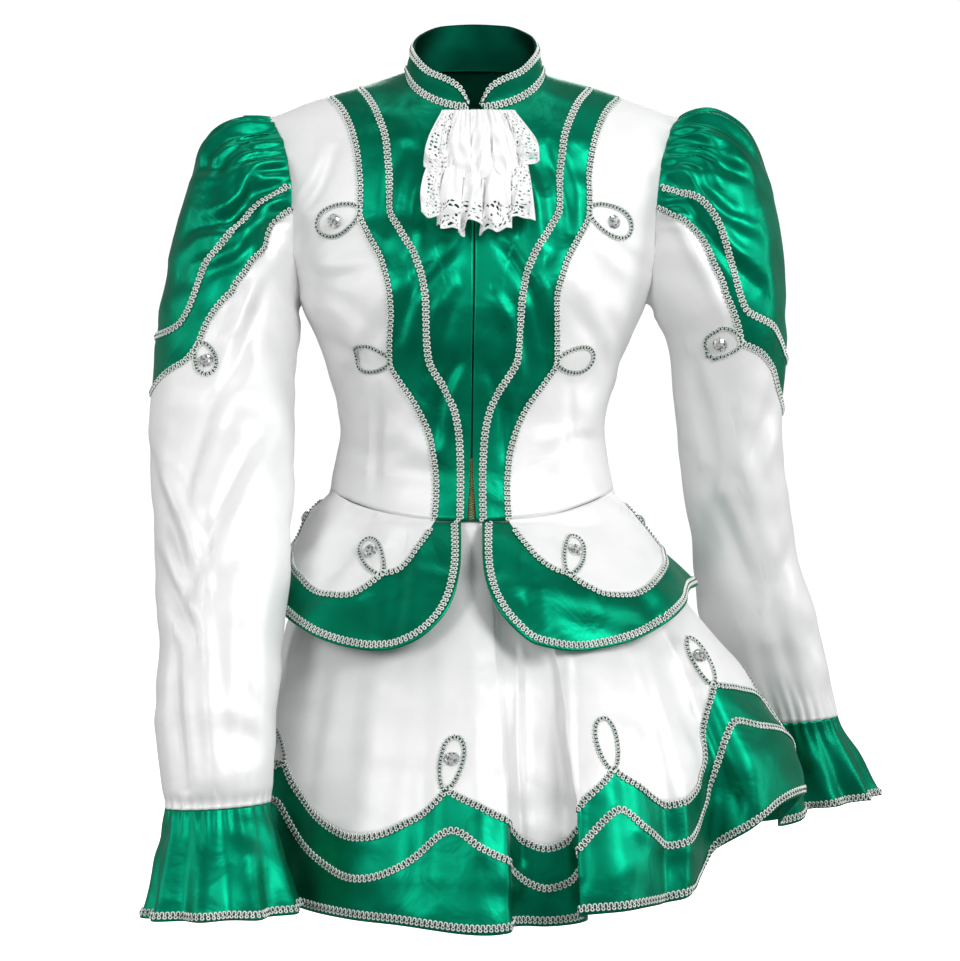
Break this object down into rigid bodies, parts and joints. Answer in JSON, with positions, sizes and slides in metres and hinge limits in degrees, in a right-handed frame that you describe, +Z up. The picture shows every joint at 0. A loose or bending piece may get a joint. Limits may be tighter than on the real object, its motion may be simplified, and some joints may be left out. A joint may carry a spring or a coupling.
{
  "type": "majorette dress",
  "caption": "Parade dress worn as a fitted bodice with stand collar, lace jabot, puffed sleeves, scalloped peplum and flared skirt, edged with gimp braid",
  "frame": {"origin": "the middle of the neck at the height of the collar seam's sides, where the wearer's shoulders carry the dress", "axes": "+Z up; the front of the dress faces -Y; the wearer's left is +X"},
  "size_m": [0.6634, 0.487, 0.7791],
  "materials": {
    "green_satin": "glossy green satin",
    "white_satin": "glossy white satin",
    "gimp_braid": "off-white scroll gimp braid with dark metallic centres",
    "stone": "faceted clear stone on dark foil",
    "lace": "white floral lace",
    "zip": "green tape with brass teeth"
  },
  "bodies": {
    "root": {"front_centre_right": "green_satin", "front_side_right": "white_satin", "braid_inner_right": "gimp_braid", "braid_outer_right": "gimp_braid", "stone_bodice_right_1": "stone", "front_centre_left": "green_satin", "front_side_left": "white_satin", "braid_inner_left": "gimp_braid", "braid_outer_left": "gimp_braid", "stone_bodice_left_1": "stone", "back_centre": "green_satin", "back_side_right": "white_satin", "back_side_left": "white_satin", "braid_back_right": "gimp_braid", "braid_back_left": "gimp_braid", "collar": "green_satin", "braid_collar": "gimp_braid", "braid_neck": "gimp_braid", "zip": "zip", "jabot_upper": "lace", "jabot_lower": "lace", "peplum": "white_satin", "peplum_border": "green_satin", "braid_peplum_edge": "gimp_braid", "braid_peplum_scallop": "gimp_braid", "stone_peplum_1": "stone", "stone_peplum_2": "stone", "stone_peplum_3": "stone", "stone_peplum_4": "stone", "skirt": "white_satin", "skirt_border": "green_satin", "braid_skirt_top": "gimp_braid", "stone_skirt_1": "stone", "stone_skirt_2": "stone", "stone_skirt_3": "stone", "stone_skirt_4": "stone", "stone_skirt_6": "stone", "stone_skirt_7": "stone", "stone_skirt_8": "stone", "braid_skirt_mid": "gimp_braid", "braid_skirt_hem": "gimp_braid", "sleeve_cap_right": "green_satin", "sleeve_right": "white_satin", "cuff_right": "green_satin", "braid_cap_mid_right": "gimp_braid", "braid_cap_edge_right": "gimp_braid", "braid_cuff_right": "gimp_braid", "stone_sleeve_right_1": "stone", "stone_sleeve_right_2": "stone", "sleeve_cap_left": "green_satin", "sleeve_left": "white_satin", "cuff_left": "green_satin", "braid_cap_mid_left": "gimp_braid", "braid_cap_edge_left": "gimp_braid", "braid_cuff_left": "gimp_braid", "stone_sleeve_left_1": "stone", "stone_sleeve_left_2": "stone"}
  },
  "joints": []
}
